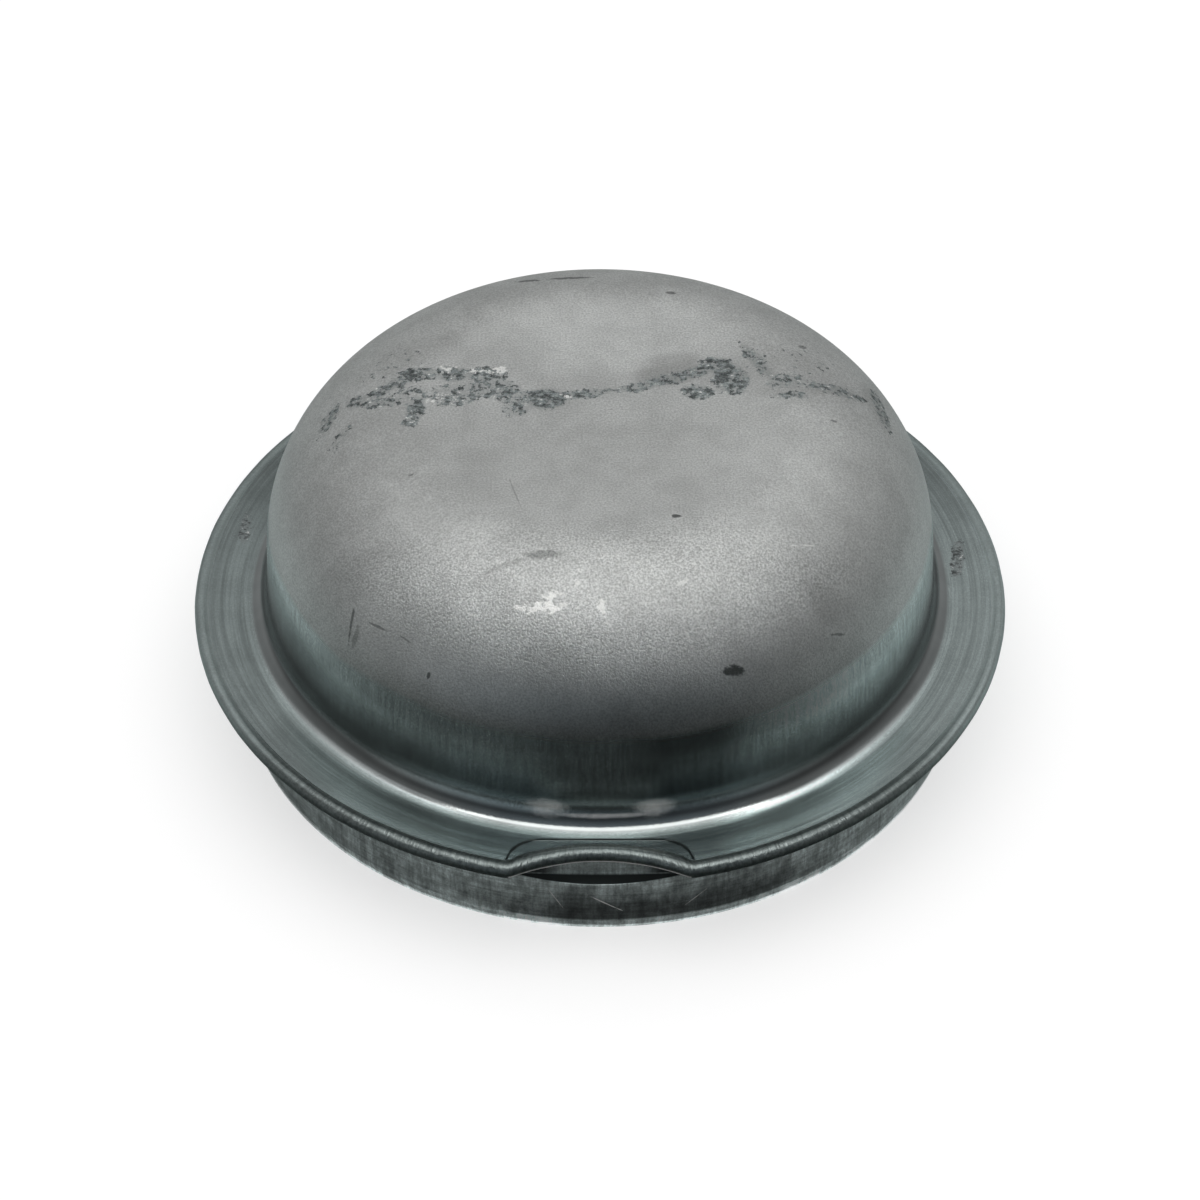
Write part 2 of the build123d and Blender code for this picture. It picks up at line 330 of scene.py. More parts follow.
def pad_distance(x, y, s):
    """Distance out of the press mark's outline, a box with two rounded corners. It is negative inside."""
    corner = s.pad_corner / MM
    back = -(s.skirt_radius - s.pocket_depth) / MM
    across = np.abs(x) - (s.pad_half_width / MM - corner)
    along = y - (back - corner)
    outside = np.hypot(np.maximum(across, 0.0), np.maximum(along, 0.0))
    inside = np.minimum(np.maximum(across, along), 0.0)
    return outside + inside - corner


def pad_cover(x, y, s):
    """1 inside the press mark and 0 outside, with a soft edge."""
    return 1.0 - smooth_step(pad_distance(x, y, s), *PAD_SOFT)


def pad_edge(psi, s):
    """Radius at which a ray from the axis crosses the press mark's back edge or its rounded corner."""
    corner = s.pad_corner / MM
    back = (s.skirt_radius - s.pocket_depth) / MM
    side = s.pad_half_width / MM - corner
    front = back + corner
    along = side * np.sin(np.abs(psi)) + front * np.cos(psi)
    inside = along**2 - side**2 - front**2 + corner**2
    rounded_edge = along - np.sqrt(np.maximum(inside, 0.0))
    flat_edge = back / np.maximum(np.cos(psi), FRONT)
    edge = np.where(flat_edge * np.sin(np.abs(psi)) < side, flat_edge, rounded_edge)
    plain = s.skirt_radius / MM + PLAIN_MARK
    fade = smooth_step(np.abs(psi), *PAD_FADE)
    return edge + (plain - edge) * fade


def columns_round(s):
    """Angles of the columns from the middle of the notch, close together across it and wider elsewhere."""
    near = np.linspace(-NOTCH_SPAN, NOTCH_SPAN, s.notch_columns)
    far = np.linspace(NOTCH_SPAN, 2.0 * np.pi - NOTCH_SPAN, s.round_columns + 2)[1:-1]
    return np.concatenate([near, far])


def folded_edge(psi, s):
    """Radius of the folded edge at each angle, and whether the notch is there.

    The notch is an arc through its deepest point and its two ends, and small cosine waves run all round.
    """
    edge = s.flange_radius / MM
    set_back = edge - s.notch_depth / MM
    half = s.notch_half_width / MM
    sagitta = np.sqrt(edge**2 - half**2) - set_back
    notch_radius = (half**2 + sagitta**2) / (2.0 * sagitta)
    notch_centre = set_back + notch_radius
    inside = notch_radius**2 - (notch_centre * np.sin(psi)) ** 2
    arc = notch_centre * np.cos(psi) - np.sqrt(np.maximum(inside, 0.0))
    arc = np.where((np.cos(psi) > FRONT) & (inside > 0.0), arc, FAR)
    waves = sum(size * np.cos(psi * turns + phase) for size, turns, phase in EDGE_WAVES)
    return soft_least(edge, arc, NOTCH_BLEND) - EDGE_WAVE * (1.0 + waves), arc < edge


def spread_over(runs, psi):
    """Radius and height of several runs in a row, at every angle."""
    return tuple(np.concatenate([run[part] + 0.0 * psi for run in runs]) for part in (0, 1))


def cap_section(psi, s):
    """Radius, height and zones of the sheet's section at each angle, from the crown round to the inside.

    Its runs are straight lines and arcs. At the notch the folded edge is set back in an arc, and the skirt is
    held to the flat back of the pocket.
    """
    sheet, skirt, seat = s.sheet / MM, s.skirt_radius / MM, s.seat_height / MM
    height, corner = s.height / MM, s.corner_radius / MM
    root, fold = s.root_radius / MM, s.fold_radius / MM
    draft = np.degrees(s.wall_draft)
    lean_cos, lean_sin = np.cos(s.wall_draft), np.sin(s.wall_draft)
    cos_psi = np.cos(psi)
    fronting = cos_psi > FRONT
    over = np.maximum(cos_psi, FRONT)
    flat = s.wall_top / MM - corner * lean_cos
    corner_height = height - corner
    flange_top = seat + 2.0 * sheet + s.fold_gap / MM
    root_height = flange_top + root
    wall_foot = root_height - root * lean_sin
    wall_top = corner_height + corner * lean_sin
    root_centre = s.wall_top / MM + (wall_top - wall_foot) * np.tan(s.wall_draft) + root * lean_cos
    fold_height = seat + fold
    edge_radius, at_notch = folded_edge(psi, s)
    stretch = np.hypot(1.0, np.gradient(edge_radius, psi) / edge_radius)
    fold_centre = edge_radius - fold * stretch

    # The dip behind the fold runs out level on the flange, which is lower inside the press mark
    dip = s.dip_radius / MM
    dip_guess = fold_centre - DIP_WIDTH * stretch
    pad = pad_cover(*from_front(dip_guess, psi), s)
    level = flange_top - pad * s.pad_depth / MM
    reach = np.sqrt((dip + fold) ** 2 - (level + dip - fold_height) ** 2)
    turn = np.degrees(np.arcsin(reach / (dip + fold)))
    dip_start = fold_centre - reach * stretch
    mark = np.minimum(pad_edge(psi, s), dip_start - MARK_MARGIN)

    # The pocket and its sheet
    pocket_back = (s.skirt_radius - s.pocket_depth) / MM
    slope = np.tan(s.shelf_slope)
    lip_centre = seat - s.pocket_drop / MM
    back_limit = np.where(fronting, pocket_back / over, FAR)
    shelf_back = lip_centre + (skirt - pocket_back) * slope
    lip = np.minimum(lip_centre + skirt * (1.0 - over) * slope, shelf_back - SHELF_LEAST)
    inner_limit = np.where(fronting, (pocket_back - sheet) / over, FAR)
    drop = sheet / np.cos(s.shelf_slope)
    under_back = lip_centre + (skirt - pocket_back + sheet) * slope - drop
    under = lip_centre + (skirt - (skirt - sheet) * over) * slope - drop
    under = np.minimum(under, under_back - SHELF_LEAST)

    # Outside, from the crown to the rim
    crown = straight((0.0, height), (flat, height), rows=30)
    turned = rounded((flat, corner_height), corner, 90.0, draft, rows=40)
    cut = np.minimum(root_centre, mark - APRON_LEAST)
    root_end = 270.0 - np.degrees(np.arcsin((root_centre - cut) / root))
    root_start = (root_centre - root * lean_cos, wall_foot)
    wall = straight(end_of(turned), root_start, rows=8)
    foot = rounded((root_centre, root_height), root, 180.0 + draft, root_end, rows=14)
    apron = straight((cut, level), (mark - STEP_HALF, level), rows=4)
    step = straight(end_of(apron), (mark + STEP_HALF, level), rows=7)
    deck = straight(end_of(step), (dip_start, level), rows=6)
    flange_r, _ = spread_over((apron, step, deck), psi)
    on_root = np.sqrt(np.maximum(root**2 - np.maximum(root_centre - flange_r, 0.0) ** 2, 0.0))
    surface = root_height - on_root
    cover = pad_cover(*from_front(flange_r, psi), s)
    flange_z = surface - cover * (surface - flange_top + s.pad_depth / MM)
    hollow = rounded((dip_start, level + dip), dip, 270.0, 270.0 + turn, rows=5, stretch=stretch)
    hem = rounded((fold_centre, fold_height), fold, 90.0 + turn, -90.0, rows=22, stretch=stretch)
    bend = s.seat_bend / MM
    seat_end = (np.minimum(skirt + bend, back_limit), seat)
    underside = straight((fold_centre, seat), seat_end, rows=6)
    bent = rounded((skirt + bend, seat - bend), bend, 90.0, 180.0, rows=6)
    seat_bend = (np.minimum(bent[0], back_limit), bent[1])
    back = straight(end_of(seat_bend), (np.minimum(skirt, back_limit), shelf_back), rows=8)
    shelf = straight(end_of(back), (skirt + 0.0 * psi, lip), rows=4)
    lead_top, lead = s.lead_in / MM, s.lead_in_angle
    rim = skirt - lead_top * np.tan(lead)
    wall_low = straight(end_of(shelf), (skirt, lead_top), rows=8)
    lead_in = straight((skirt, lead_top), (rim, 0.0), rows=3)
    rim_inner = rim - sheet / np.cos(lead)
    foot_face = straight((rim, 0.0), (rim_inner, 0.0), rows=2)
    ledge = (flange_r, flange_z)
    outer = [crown, turned, wall, foot, ledge, hollow, hem, underside, seat_bend, back, shelf]
    outer += [wall_low, lead_in, foot_face]

    # Inside, from the rim to the crown, with the crevice between the layers closed at the notch
    bore = skirt - sheet
    lead_inner = straight((rim_inner, 0.0), (bore, lead_top + sheet * np.tan(lead / 2.0)), rows=2)
    bore_low = straight(end_of(lead_inner), (bore + 0.0 * psi, under), rows=4)
    bore_back = (np.minimum(bore, inner_limit), under_back)
    under_shelf = straight(end_of(bore_low), bore_back, rows=3)
    bore_high = straight(bore_back, (bore_back[0], seat - bend), rows=3)
    low_bend = rounded((skirt + bend, seat - bend), bend + sheet, 180.0, 90.0, rows=5)
    inner_fold = fold - sheet
    fold_in = s.flange_radius / MM - fold
    low_face = straight(end_of(low_bend), (fold_in, seat + sheet), rows=2)
    fold_end = rounded((fold_in, fold_height), inner_fold, -90.0, 90.0, rows=4)
    high_face = straight(end_of(fold_end), (root_centre, flange_top - sheet), rows=3)
    crevice_r, crevice_z = spread_over((low_bend, low_face, fold_end, high_face), psi)
    opened = smooth_step(np.abs(np.angle(np.exp(1j * psi))), *CREVICE_OPENS)
    shut_r = np.minimum(bore_back[0], root_centre)
    shut_z = root_height - np.sqrt((root + sheet) ** 2 - (root_centre - shut_r) ** 2)
    climb = np.linspace(0.0, 1.0, len(crevice_r) + 1)[1:, None]
    crevice_r = shut_r + (crevice_r - shut_r) * opened
    crevice_z = crevice_z * opened + (seat - bend + (shut_z - seat + bend) * climb) * (1.0 - opened)
    inner_start = 270.0 - np.degrees(np.arcsin((root_centre - crevice_r[-1:]) / (root + sheet)))
    inner_root = rounded((root_centre, root_height), root + sheet, inner_start, 180.0 + draft, rows=6)
    corner_inner = rounded((flat, corner_height), corner - sheet, draft, 90.0, rows=12)
    corner_start = (flat + (corner - sheet) * lean_cos, wall_top - sheet * lean_sin)
    inner_wall = straight(end_of(inner_root), corner_start, rows=3)
    ceiling = straight((flat, height - sheet), (1.0, height - sheet), rows=4)
    inner = [lead_inner, bore_low, under_shelf, bore_high, (crevice_r, crevice_z)]
    inner += [inner_root, inner_wall, corner_inner, ceiling]

    # Zones for the steel
    runs = outer + inner

    def on(*chosen):
        """1 on the rows of the chosen runs and 0 on the others."""
        here = (float(any(run is pick for pick in chosen)) for run in runs)
        return np.concatenate([0.0 * (run[0] + psi) + value for run, value in zip(runs, here)])

    radius, level_z = spread_over(runs, psi)
    from_mark = np.abs(pad_distance(*from_front(radius, psi), s))
    near = 1.0 - smooth_step(from_mark, *CREASE_SOFT)
    set_in = smooth_step(skirt - radius, 0.02, 0.08)
    in_front = 0.12 + 0.88 * smooth_step(cos_psi, 0.75, 0.93)
    # Painted highlight: a bright line along the hem's lower edge at the notch
    lip_highlight = smooth_step(-level_z, -seat - 0.60, -seat - 0.46) * at_notch
    # The hollow, shelf and back zones carry painted shade in front, the mark zone a dark line round the press
    # mark, and the edge zone a painted highlight
    zones = {
        "inside": on(*inner),
        "hem": on(hollow, hem),
        "hollow": on(hollow) * in_front,
        "edge": on(hem) * lip_highlight,
        "mark": on(ledge) * near * fronting,
        "shelf": on(shelf) * fronting,
        "back": on(back) * set_in * fronting,
    }
    return radius, level_z, zones


def spots_at(x, y, spots):
    """Greatest of soft elliptic spots at each point: full up to 0.6 of its size, and 0 from 1.35 of it."""
    across, along, long, wide, degrees, strength = np.array(spots).T[:, :, None, None]
    cos, sin = np.cos(np.radians(degrees)), np.sin(np.radians(degrees))
    u = ((x - across) * cos + (y - along) * sin) / long
    v = ((y - along) * cos - (x - across) * sin) / wide
    return (strength * (1.0 - smooth_step(np.hypot(u, v), 0.6, 1.35))).max(axis=0)


def mark_points(mesh, name, values):
    """Stores one number at each point of the grid, and 0 at its two poles."""
    layer = mesh.attributes.new(name, "FLOAT", "POINT")
    layer.data.foreach_set("value", np.append(values.ravel(), (0.0, 0.0)).astype(np.float32))


def grid_faces(rows, columns, after):
    """Four-sided faces between neighbouring rows of a grid, each from a column to the one after it."""
    first = np.arange(rows - 1)[:, None] * columns
    left, right = first + np.arange(len(after)), first + after
    return np.stack([left, left + columns, right + columns, right], axis=-1).reshape(-1, 4).tolist()


def closed_shell(name, x, y, z, top, bottom):
    """Mesh of a grid in millimetres that closes round its columns, with a fan at each end: top and bottom."""
    rows, columns = x.shape
    grid = np.stack([x, y, z], axis=-1).reshape(-1, 3)
    points = np.concatenate([grid, [top, bottom]]) * MM
    here = np.arange(columns)
    after = np.roll(here, -1)
    head, tail = rows * columns, rows * columns + 1
    last = (rows - 1) * columns
    head_fan = np.stack([np.full(columns, head), here, after], axis=-1)
    tail_fan = np.stack([np.full(columns, tail), last + after, last + here], axis=-1)
    mesh = bpy.data.meshes.new(name)
    faces = grid_faces(rows, columns, after) + head_fan.tolist() + tail_fan.tolist()
    mesh.from_pydata(points.tolist(), [], faces)
    mesh.validate()
    mesh.shade_smooth()
    return mesh


def grid_sheet(name, x, y, z):
    """Open sheet over a grid of points in metres."""
    rows, columns = x.shape
    points = np.stack([x, y, z], axis=-1).reshape(-1, 3)
    mesh = bpy.data.meshes.new(name)
    mesh.from_pydata(points.tolist(), [], grid_faces(rows, columns, np.arange(1, columns)))
    mesh.shade_smooth()
    return mesh


def placed(mesh, material):
    """New object at the origin with its mesh and material, linked to the scene."""
    mesh.materials.append(material)
    item = bpy.data.objects.new(mesh.name, mesh)
    bpy.context.scene.collection.objects.link(item)
    return item


# Materials


class Recipe:
    """Adds nodes to one material. An input given as a socket is linked and a plain value is set on it."""

    def __init__(self, name):
        self.material = bpy.data.materials.new(name)
        self.material.use_nodes = True
        self.tree = self.material.node_tree
        self.tree.nodes.clear()
        self.place = self.add("TexCoord").outputs["Object"]

    def add(self, kind, settings=None, **inputs):
        """One node with its settings, and its inputs by name or by number as i0, i1 and so on."""
        node = self.tree.nodes.new(f"ShaderNode{kind}")
        for key, value in (settings or {}).items():
            setattr(node, key, value)
        for key, value in inputs.items():
            number = key[1:]
            socket = node.inputs[int(number)] if key[0] == "i" and number.isdigit() else node.inputs[key]
            if isinstance(value, bpy.types.NodeSocket):
                self.tree.links.new(value, socket)
            else:
                socket.default_value = value
        return node

    def step(self, kind, operation, values):
        """Node of one step with its values in order."""
        inputs = {f"i{number}": value for number, value in enumerate(values)}
        return self.add(kind, {"operation": operation}, **inputs)

    def maths(self, operation, *values):
        """Result of one arithmetic step."""
        return self.step("Math", operation, values).outputs[0]

    def vector(self, operation, *values):
        """Result of one step on vectors: a number from a length or a dot product, or else a vector."""
        number = operation in ("LENGTH", "DOT_PRODUCT")
        return self.step("VectorMath", operation, values).outputs[int(number)]

    def times(self, first, *others):
        """Product of all the values."""
        for other in others:
            first = self.maths("MULTIPLY", first, other)
        return first

    def most(self, first, *others):
        """Greatest of all the values."""
        for other in others:
            first = self.maths("MAXIMUM", first, other)
        return first

    def plus(self, value, factor, more):
        """Value times factor, plus more."""
        return self.maths("MULTIPLY_ADD", value, factor, more)

    def weigh(self, a, part_of_a, b, part_of_b):
        """Sum of a times its share and b times its share."""
        return self.plus(a, part_of_a, self.times(b, part_of_b))

    def rest(self, value):
        """What is left of 1 without the value."""
        return self.maths("SUBTRACT", 1.0, value)

    def off(self, value, centre):
        """Distance of a value from a centre."""
        return self.maths("ABSOLUTE", self.maths("SUBTRACT", value, centre))

    def ramp(self, value, low, high, start=0.0, end=1.0):
        """Smooth change from start to end as the value goes from low to high."""
        settings = {"interpolation_type": "SMOOTHSTEP", "clamp": True}
        limits = {"i1": low, "i2": high, "i3": start, "i4": end}
        return self.add("MapRange", settings, i0=value, **limits).outputs[0]

    def band(self, value, rise, fall):
        """1 between two smooth edges: up over the first pair of values and down over the second."""
        return self.times(self.ramp(value, *rise), self.ramp(value, *fall))

    def vary(self, noise, low, high):
        """Noise spread out between two levels."""
        return self.ramp(noise, 0.3, 0.7, low, high)

    def noise(self, where, scale, detail=2.0, roughness=0.5):
        """Noise from 0 to 1 with features about 1 / scale metres wide."""
        inputs = {"Scale": scale, "Detail": detail, "Roughness": roughness}
        return self.add("TexNoise", None, Vector=where, **inputs).outputs[0]

    def blend(self, part, a, b):
        """Number between a and b."""
        return self.add("Mix", {"data_type": "FLOAT"}, i0=part, i2=a, i3=b).outputs[0]

    def within(self, zone, tone):
        """The tone inside a zone and 1 outside it."""
        return self.blend(zone, 1.0, tone)

    def tint(self, part, a, b):
        """Colour between a and b."""
        a, b = (c if isinstance(c, bpy.types.NodeSocket) else (*c, 1.0) for c in (a, b))
        return self.add("Mix", {"data_type": "RGBA"}, i0=part, i6=a, i7=b).outputs[2]

    def tinted(self, base, level):
        """Colour made lighter or darker by a number."""
        return self.add("VectorMath", {"operation": "SCALE"}, i0=base, Scale=level).outputs[0]

    def join(self, x, y, z):
        """Vector from three numbers."""
        return self.add("CombineXYZ", None, i0=x, i1=y, i2=z).outputs[0]

    def parts(self, vector):
        """The three numbers of a vector."""
        return self.add("SeparateXYZ", None, i0=vector).outputs

    def flat_turn(self, x, y):
        """Direction round the axis, as a level vector of length 1."""
        return self.vector("NORMALIZE", self.join(x, y, 0.0))

    def attribute(self, name):
        """Number that the mesh holds at each point."""
        return self.add("Attribute", {"attribute_name": name}).outputs["Fac"]

    def strokes(self, x, y, strokes, ragged, full=0.4):
        """Greatest of short ragged marks on a plane: ellipses that are solid up to full and end at 1.3."""
        level = self.join(x, y, 0.0)
        total = 0.0
        for across, along, half_length, half_width, degrees, strength in strokes:
            offset = self.vector("SUBTRACT", level, (across * MM, along * MM, 0.0))
            turn = np.array([np.cos(radians(degrees)), np.sin(radians(degrees)), 0.0])
            side = np.array([-turn[1], turn[0], 0.0])
            u = self.vector("DOT_PRODUCT", offset, tuple(turn / (half_length * MM)))
            v = self.vector("DOT_PRODUCT", offset, tuple(side / (half_width * MM)))
            away = self.plus(v, v, self.plus(u, u, ragged))
            total = self.most(self.ramp(away, 1.3, full, 0.0, strength), total)
        return total

    def light(self, colour_here):
        """Ends the recipe with plain light of one colour."""
        light = self.add("Emission", None, Color=colour_here, Strength=1.0)
        return self.surface(light.outputs[0])

    def surface(self, shader):
        """Ends the recipe with its shader."""
        self.add("OutputMaterial", None, Surface=shader)
        return self.material


def steel_maps(r):
    """Where each finish lies, from 0 to 1 by height, direction and the mesh's attributes, and the noises."""
    at = SimpleNamespace()
    at.x, at.y, at.z = x, y, z = r.parts(r.place)
    at.radius = r.vector("LENGTH", r.join(x, y, 0.0))
    at.turn = r.flat_turn(x, y)
    at.tx, at.ty, _ = r.parts(at.turn)
    at.wide = r.maths("ABSOLUTE", x)
    at.aside = r.maths("ABSOLUTE", at.tx)
    at.facing = r.ramp(at.ty, *FACING)
    at.fore = r.ramp(at.ty, *FORE)
    at.outside = r.rest(r.attribute("inside"))
    at.hem = r.attribute("hem")
    at.ribbed = r.times(at.hem, r.plus(at.fore, 0.85, 0.15))

    # The border between the dull dome and the ironed wall is uneven
    uneven = r.maths("SUBTRACT", r.noise(r.place, scale=90.0), 0.5)
    at.dome = r.ramp(r.plus(uneven, 0.0016, z), *DOME_FOOT)
    at.face = r.times(at.dome, at.outside)
    at.wall = r.maths("SUBTRACT", at.outside, at.face)
    at.drawn = r.times(r.ramp(z, *WALL_FOOT), at.wall)
    at.corner = r.band(z, *CORNER)
    at.root = r.band(z, *ROOT)
    at.flange = r.band(z, *FLANGE)
    at.skirt = r.ramp(z, *SKIRT_TOP)

    # Painted shade darkens the hollow behind the hem in front and the pocket, darkest on its shelf and at its
    # ends, and a dark line runs round the press mark
    at.shelf = r.times(r.attribute("shelf"), r.ramp(at.radius, 0.03597, 0.0359))
    pocket_shade = r.times(r.attribute("back"), r.ramp(at.wide, 0.0035, 0.0058, 0.35, 0.97))
    hollow = r.times(r.attribute("hollow"), 0.6)
    at.crease = r.most(r.attribute("mark"), hollow, at.shelf, pocket_shade)

    # Lines run down the wall and the skirt and round the flange, and ribs cross the hem
    ax, ay, _ = r.parts(r.vector("MULTIPLY", at.turn, (LINE_RADIUS, LINE_RADIUS, 0.0)))

    def upright(stretch):
        """Place on the unrolled sheet, with its height times stretch."""
        return r.join(ax, ay, r.times(at.z, stretch))

    ring = r.join(at.radius, r.times(at.tx, RING_SWAY), r.times(at.ty, RING_SWAY))
    level = r.join(r.times(ax, 0.06), r.times(ay, 0.06), at.z)
    squeezed = r.vector("MULTIPLY", r.place, (0.75, 1.0, 1.0))
    along = r.add("Mix", {"data_type": "VECTOR"}, i0=at.flange, i4=upright(0.1), i5=ring).outputs[1]
    at.lines = r.noise(along, scale=2700.0, roughness=0.7)
    at.bands = r.noise(level, scale=2300.0, roughness=0.7)
    at.ribs = r.noise(upright(0.5), scale=3000.0, roughness=0.75)
    at.fine = r.noise(r.place, scale=5000.0, roughness=0.7)
    at.cloud = r.noise(r.place, scale=260.0, roughness=0.6)
    at.blotch = r.noise(upright(0.6), scale=620.0, detail=3.0, roughness=0.65)
    at.ragged = r.noise(squeezed, scale=1900.0, detail=4.0, roughness=0.75)
    at.flaky = r.noise(r.place, scale=1500.0, detail=4.0, roughness=0.68)
    return at


def steel_wear(r, at):
    """Torn, smeared and bright worn places with painted highlights, and dark marks with painted shade, where
    the attributes and the single marks say.
    """
    rag = r.maths("SUBTRACT", at.flaky, 0.5)
    galled = r.attribute("torn")
    tear = r.plus(rag, r.ramp(galled, 0.02, 0.2, 0.0, 2.4), galled)
    torn = r.ramp(tear, 0.44, 0.58)
    smear = r.ramp(galled, 0.28, 0.6, 0.0, 0.45)
    rubbed = r.ramp(r.plus(rag, -2.0, r.attribute("rubbed")), 0.54, 0.70, 0.0, 0.85)
    bits = r.times(r.ramp(at.ragged, 0.39, 0.32), r.ramp(galled, 0.3, 0.5))

    # Single marks: the scuffs crumble most, and the painted glints on the wall are soft
    frayed = r.plus(at.ragged, 4.0, -2.0)
    crumbled = r.plus(at.flaky, 9.0, -4.4)
    dents = r.times(r.strokes(at.x, at.y, DARK_STROKES, frayed), at.face)
    scuffs = r.times(r.strokes(at.x, at.y, PALE_STROKES, crumbled), at.face)
    skirt_front = r.times(at.skirt, at.outside, r.ramp(at.y, -0.03, -0.032))
    scratches = r.times(r.strokes(at.x, at.z, SKIRT_STROKES, frayed), skirt_front)
    wall_front = r.times(at.wall, r.ramp(at.y, -0.029, -0.031))
    painted_gleams = r.strokes(at.x, at.z, PAINTED_WALL_GLEAMS, r.times(frayed, 0.35), full=-0.4)
    painted_gleams = r.times(painted_gleams, wall_front)
    # Painted highlights join the bright worn marks: the glints on the wall and the line along the hem's lip
    # at the notch
    bright = r.most(rubbed, scuffs, scratches, painted_gleams, bits, r.attribute("edge"))

    patchy = r.times(r.ramp(at.cloud, 0.46, 0.6), at.dome)
    specks = r.times(r.ramp(at.ragged, 0.68, 0.75, 0.0, 0.5), patchy)
    return torn, smear, bright, r.most(dents, specks, at.crease)


def dome_tone(r, at):
    """Clouds and stains, pale patches of painted light, and grain that is coarser on the crown's corner in
    front, a painted sparkle where the highlight falls.
    """
    stain_and_light = r.plus(r.attribute("stains_and_painted_light"), -0.3, 1.0)
    # Painted sparkle: the grain's contrast is raised where the highlight falls
    highlight_sparkle = r.times(r.ramp(at.y, -0.014, -0.019), r.ramp(at.z, 0.0262, 0.0285))
    darkest, palest = r.blend(highlight_sparkle, 0.80, 0.68), r.blend(highlight_sparkle, 1.20, 1.36)
    speckle = r.ramp(at.fine, 0.25, 0.75, darkest, palest)
    speckled = r.rest(r.most(at.root, r.times(at.flange, 0.5)))
    return r.times(r.vary(at.cloud, 0.94, 1.06), stain_and_light, r.within(speckled, speckle))


def flange_tone(r, at):
    """Rings, with painted light: dimmer behind and half way to the front, paler to the right, and lifted in
    front.
    """
    rings = r.vary(at.lines, 0.82, 1.18)
    behind = r.ramp(at.ty, 0.05, 0.5, 1.0, 0.74)
    painted_right_light = r.plus(at.tx, 0.1, 1.0)
    half_way_shade = r.ramp(r.off(at.ty, -0.7), 0.0, 0.22, 0.8, 1.0)
    front = r.blend(at.hem, r.ramp(at.ty, -0.8, -0.92, 1.0, 1.25), 1.0)
    return r.within(at.flange, r.times(rings, behind, painted_right_light, half_way_shade, front))


def skirt_tone(r, at):
    """Upright lines, bands and blotches, strongest in front. Painted reflection: darker towards the foot,
    most in the middle in front, a bright band at the rim there, and paler to the right.
    """
    upright = r.vary(at.lines, r.blend(at.fore, 0.92, 0.82), r.blend(at.fore, 1.08, 1.18))
    bands = r.vary(at.bands, 0.8, 1.2)
    blotches = r.vary(at.blotch, r.blend(at.fore, 0.84, 0.6), r.blend(at.fore, 1.16, 1.4))
    middle = r.times(r.ramp(r.off(at.x, 0.006), 0.018, 0.008), at.facing)
    # Painted reflection of the shaded floor: darker low down, most in the middle in front, and a bright band
    # at the rim
    foot = r.ramp(at.z, *SKIRT_RISE, r.blend(middle, 0.95, 0.2), r.blend(middle, 1.3, 1.0))
    rim = r.ramp(at.z, *RIM_EDGE, 1.0, r.blend(middle, r.blend(at.fore, 1.0, 1.6), 6.6))
    painted_right_light = r.plus(at.tx, 0.22, 1.02)
    return r.within(at.skirt, r.times(upright, bands, blotches, foot, rim, painted_right_light))


def root_tone(r, at):
    """Painted shade and highlight: a dim corner over the root, a dark line along its edge in front, and a
    bright one on both flanks.
    """
    shaded_corner = r.within(at.corner, r.blend(at.facing, 0.42, 0.9))
    flank = r.ramp(at.aside, 0.26, 0.5)
    bare = r.rest(at.hem)
    front = r.most(r.times(at.fore, r.maths("SUBTRACT", bare, flank)), 0.0)
    root_edge_shade = r.within(r.times(r.band(at.z, *ROOT_EDGE), front), 0.5)
    tilted = r.plus(at.tx, SHINE_TILT, at.z)
    fading = r.ramp(at.aside, 0.86, 0.5, 0.0, 1.3)
    painted_shine = r.times(r.band(tilted, *ROOT_SHINE), flank, fading, r.ramp(at.ty, -0.3, -0.5), bare)
    return r.times(shaded_corner, root_edge_shade, r.maths("ADD", painted_shine, 1.0))


def wall_tone(r, at):
    """Upright lines, and painted reflection in broad tones: paler on the right and high up, dimmer far left
    and low in front, with dark bands right of the middle and low in the middle.
    """
    lines = r.vary(at.lines, 0.86, 1.14)
    right = r.ramp(r.off(at.tx, 0.62), 0.0, 0.32, 1.34, 1.0)
    left = r.ramp(r.off(at.tx, -0.87), 0.0, 0.16, 0.58, 1.0)
    left = r.within(r.ramp(at.z, 0.0205, 0.0175), left)
    beside = r.times(r.band(at.aside, (0.08, 0.22), (0.68, 0.52)), at.fore)
    low = r.within(beside, r.ramp(at.z, *WALL_LOW, 0.5, 1.0))
    high = r.ramp(at.z, *WALL_HIGH, 1.0, 1.2)
    streak_shade = r.ramp(r.off(at.tx, 0.24), 0.2, 0.07, 0.0, 0.5)
    streak_shade = r.rest(r.times(streak_shade, at.fore))
    inmost_shade = r.times(r.ramp(at.wide, 0.0052, 0.0032), r.ramp(at.z, 0.0156, 0.0143))
    inmost_shade = r.rest(r.times(inmost_shade, at.fore, 0.6))
    broad = r.times(right, low, streak_shade, inmost_shade, left, high)
    return r.times(r.within(at.drawn, lines), r.within(at.drawn, broad))


def steel_relief(r, at):
    """Bump: grain on the dome, lines on the wall, the flange and the skirt, and ribs on the hem."""
    grainy = r.blend(at.dome, 0.006, r.ramp(at.z, 0.0225, 0.028, 0.04, 0.066))
    lined = r.blend(at.dome, r.blend(at.skirt, 0.004, 0.02), 0.0)
    relief = r.plus(at.lines, lined, r.times(at.fine, grainy))
    relief = r.plus(r.times(at.ribs, at.ribbed), 0.12, relief)
    return r.add("Bump", None, Strength=1.0, Distance=MM, Height=relief).outputs[0]


